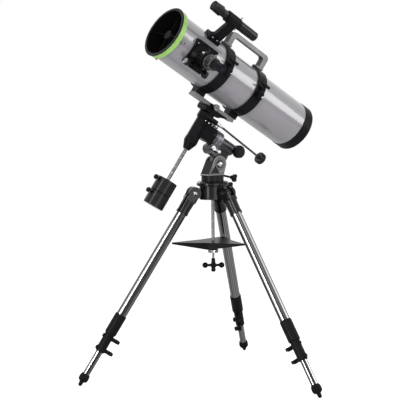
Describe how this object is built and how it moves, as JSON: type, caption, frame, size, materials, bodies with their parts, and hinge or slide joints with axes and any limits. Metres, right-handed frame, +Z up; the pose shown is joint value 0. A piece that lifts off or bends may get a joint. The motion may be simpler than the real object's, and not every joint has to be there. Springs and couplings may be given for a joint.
{
  "type": "reflector telescope on equatorial mount and tripod",
  "caption": "Newtonian reflector telescope on a German equatorial mount with counterweights and a folding steel-tube tripod.",
  "frame": {"origin": "on the floor, at the centre of the whole object's footprint at rest", "axes": "+Z up; the polar axis and the tube point towards -X and 30 degrees up; the focuser faces -Y"},
  "size_m": [0.9066, 0.8473, 1.3983],
  "materials": {
    "black_cast": "satin",
    "black_steel": "satin",
    "grey_cast": "satin",
    "steel_tube": "polished",
    "chromed": "polished",
    "black_plastic": "satin",
    "tube_paint": "metallic",
    "green_paint": "satin",
    "iron_weight": "gloss",
    "silver": "satin",
    "mirror_glass": "mirror coated",
    "rubber_foot": "matte"
  },
  "bodies": {
    "tripod": {"tripod_hub": "black_cast", "leg_bolts": "chromed", "spreader_rod": "steel_tube", "tray_nut": "chromed"},
    "tray": {"spreader_tray": "black_cast"},
    "tray_handle": {"tray_handle": "black_plastic"},
    "azimuth_screw": {"azimuth_knob": "black_plastic"},
    "azimuth_base": {"mount_base": "grey_cast", "latitude_bolt": "chromed"},
    "latitude_screw": {"latitude_knob": "black_plastic"},
    "polar_head": {"ra_housing": "black_cast"},
    "ra_setting_circle": {"ra_circle": "silver"},
    "ra_slow_knob": {"ra_knob": "black_plastic"},
    "ra_lock": {"ra_clamp": "chromed"},
    "dec_head": {"dec_housing": "black_cast", "polar_axle": "steel_tube", "cw_shaft": "steel_tube"},
    "dec_slow_stalk": {"dec_control": "black_plastic"},
    "dec_lock": {"dec_clamp": "chromed"},
    "saddle_head": {"saddle": "black_cast"},
    "saddle_lock": {"saddle_screw": "chromed"},
    "lower_weight": {"cw_lower": "iron_weight"},
    "lower_weight_lock": {"cw_screw_lower": "black_plastic"},
    "upper_weight": {"cw_upper": "iron_weight"},
    "upper_weight_lock": {"cw_screw_upper": "black_plastic"},
    "cradle": {"dovetail_bar": "grey_cast", "rings_lower": "black_cast"},
    "ring_lids": {"rings_upper": "black_cast", "ring_bolts": "black_steel", "carry_handle": "black_cast"},
    "optical_tube": {"main_tube": "tube_paint", "front_ring": "black_plastic", "green_ring": "green_paint", "spider": "black_plastic", "primary_mirror": "mirror_glass", "rear_cap": "black_plastic", "focuser_base": "black_cast", "finder_bracket": "black_plastic", "finder_tube": "black_cast"},
    "focuser_drawtube": {"drawtube": "black_cast", "eyepiece": "black_plastic"},
    "focuser_pinion": {"focus_knobs": "silver"},
    "leg_a": {"leg_socket_a": "black_cast", "leg_tube_a": "steel_tube", "leg_clamp_a": "black_plastic", "leg_knobs_a": "black_plastic"},
    "leg_extension_a": {"leg_inner_a": "steel_tube", "leg_foot_a": "rubber_foot"},
    "leg_b": {"leg_socket_b": "black_cast", "leg_tube_b": "steel_tube", "leg_clamp_b": "black_plastic", "leg_knobs_b": "black_plastic"},
    "leg_extension_b": {"leg_inner_b": "steel_tube", "leg_foot_b": "rubber_foot"},
    "leg_c": {"leg_socket_c": "black_cast", "leg_tube_c": "steel_tube", "leg_clamp_c": "black_plastic", "leg_knobs_c": "black_plastic"},
    "leg_extension_c": {"leg_inner_c": "steel_tube", "leg_foot_c": "rubber_foot"}
  },
  "joints": [
    {"name": "tray_turn", "type": "hinge", "parent": "tripod", "child": "tray", "pos_m": [0.0285, 0.097, 0.519], "axis": [0, 0, 1], "range_deg": [0, 60]},
    {"name": "tray_handle_turn", "type": "hinge", "parent": "tripod", "child": "tray_handle", "pos_m": [0.0285, 0.097, 0.427], "axis": [0, 0, 1], "continuous": true},
    {"name": "azimuth_turn", "type": "hinge", "parent": "tripod", "child": "azimuth_base", "pos_m": [0.0285, 0.097, 0.74482], "axis": [0, 0, 1], "continuous": true},
    {"name": "azimuth_screw_turn", "type": "hinge", "parent": "tripod", "child": "azimuth_screw", "pos_m": [0.0438, 0.097, 0.72332], "axis": [1, 0, 0], "continuous": true},
    {"name": "latitude_tilt", "type": "hinge", "parent": "azimuth_base", "child": "polar_head", "pos_m": [0.0445, 0.097, 0.80912], "axis": [0, 1, 0], "range_deg": [-10, 25]},
    {"name": "latitude_screw_travel", "type": "slide", "parent": "azimuth_base", "child": "latitude_screw", "axis": [-0.9763, 0, 0.2164], "range_m": [-0.0066, 0.0164]},
    {"name": "ra_turn", "type": "hinge", "parent": "polar_head", "child": "dec_head", "pos_m": [-0.03502, 0.097, 0.9466], "axis": [-0.866, 0, 0.5], "range_deg": [-20, 95]},
    {"name": "ra_circle_turn", "type": "hinge", "parent": "polar_head", "child": "ra_setting_circle", "pos_m": [0.04033, 0.097, 0.9031], "axis": [-0.866, 0, 0.5], "continuous": true},
    {"name": "ra_knob_turn", "type": "hinge", "parent": "polar_head", "child": "ra_slow_knob", "pos_m": [0.10771, 0.067, 0.8538], "axis": [0, -1, 0], "continuous": true},
    {"name": "ra_lock_turn", "type": "hinge", "parent": "polar_head", "child": "ra_lock", "pos_m": [0.01053, 0.072, 0.86949], "axis": [0, -1, 0], "range_deg": [-20, 25]},
    {"name": "dec_turn", "type": "hinge", "parent": "dec_head", "child": "saddle_head", "pos_m": [-0.01542, 0.08903, 0.98054], "axis": [0.49, -0.1994, 0.8486], "continuous": true},
    {"name": "dec_stalk_turn", "type": "hinge", "parent": "dec_head", "child": "dec_slow_stalk", "pos_m": [0.10389, 0.05915, 0.90749], "axis": [0.8373, 0.0111, -0.5466], "continuous": true},
    {"name": "dec_lock_turn", "type": "hinge", "parent": "dec_head", "child": "dec_lock", "pos_m": [0.01945, 0.0662, 0.95093], "axis": [0.866, 0, -0.5], "continuous": true},
    {"name": "saddle_lock_turn", "type": "hinge", "parent": "saddle_head", "child": "saddle_lock", "pos_m": [0.00536, 0.054, 1.02253], "axis": [-0.0997, -0.9799, -0.1727], "continuous": true},
    {"name": "cradle_slide", "type": "slide", "parent": "saddle_head", "child": "cradle", "axis": [-0.866, 0, 0.5], "range_m": [-0.06, 0.06]},
    {"name": "tube_turn", "type": "hinge", "parent": "cradle", "child": "optical_tube", "pos_m": [0.0694, 0.05451, 1.12744], "axis": [-0.866, 0, 0.5], "continuous": true},
    {"name": "ring_lid_open", "type": "hinge", "parent": "cradle", "child": "ring_lids", "pos_m": [0.07976, 0.15643, 1.1454], "axis": [-0.866, 0, 0.5], "range_deg": [0, 95]},
    {"name": "focus_slide", "type": "slide", "parent": "optical_tube", "child": "focuser_drawtube", "axis": [-0.1628, -0.9455, -0.282], "range_m": [0, 0.035]},
    {"name": "focus_knob_turn", "type": "hinge", "parent": "optical_tube", "child": "focuser_pinion", "pos_m": [-0.14885, -0.04179, 1.16142], "axis": [-0.866, 0, 0.5], "range_deg": [-225, 0]},
    {"name": "lower_weight_slide", "type": "slide", "parent": "dec_head", "child": "lower_weight", "axis": [0.49, -0.1994, 0.8486], "range_m": [0, 0.06]},
    {"name": "upper_weight_slide", "type": "slide", "parent": "lower_weight", "child": "upper_weight", "axis": [0.49, -0.1994, 0.8486], "range_m": [0, 0.06]},
    {"name": "lower_weight_lock_turn", "type": "hinge", "parent": "lower_weight", "child": "lower_weight_lock", "pos_m": [-0.21375, 0.15563, 0.71701], "axis": [-0.866, 0, 0.5], "continuous": true},
    {"name": "upper_weight_lock_turn", "type": "hinge", "parent": "upper_weight", "child": "upper_weight_lock", "pos_m": [-0.18676, 0.14465, 0.76377], "axis": [-0.866, 0, 0.5], "continuous": true},
    {"name": "leg_fold_a", "type": "hinge", "parent": "tripod", "child": "leg_a", "pos_m": [-0.04011, 0.12472, 0.70182], "axis": [-0.3746, -0.9272, 0], "range_deg": [0, 20]},
    {"name": "leg_extend_a", "type": "slide", "parent": "leg_a", "child": "leg_extension_a", "axis": [-0.4976, 0.2011, -0.8438], "range_m": [-0.09, 0.18]},
    {"name": "leg_fold_b", "type": "hinge", "parent": "tripod", "child": "leg_b", "pos_m": [0.08681, 0.14256, 0.70182], "axis": [-0.6157, 0.788, 0], "range_deg": [0, 20]},
    {"name": "leg_extend_b", "type": "slide", "parent": "leg_b", "child": "leg_extension_b", "axis": [0.4229, 0.3304, -0.8438], "range_m": [-0.09, 0.18]},
    {"name": "leg_fold_c", "type": "hinge", "parent": "tripod", "child": "leg_c", "pos_m": [0.0388, 0.02372, 0.70182], "axis": [0.9903, 0.1392, 0], "range_deg": [0, 20]},
    {"name": "leg_extend_c", "type": "slide", "parent": "leg_c", "child": "leg_extension_c", "axis": [0.0747, -0.5315, -0.8438], "range_m": [-0.09, 0.18]}
  ],
  "couplings": [
    {"joint": "latitude_screw_travel", "follows": "latitude_tilt", "m_per_rad": 0.0371},
    {"joint": "focus_knob_turn", "follows": "focus_slide", "rad_per_m": -111.11},
    {"joint": "leg_fold_a", "follows": "tray_turn", "ratio": 0.33333},
    {"joint": "leg_fold_b", "follows": "tray_turn", "ratio": 0.33333},
    {"joint": "leg_fold_c", "follows": "tray_turn", "ratio": 0.33333}
  ]
}
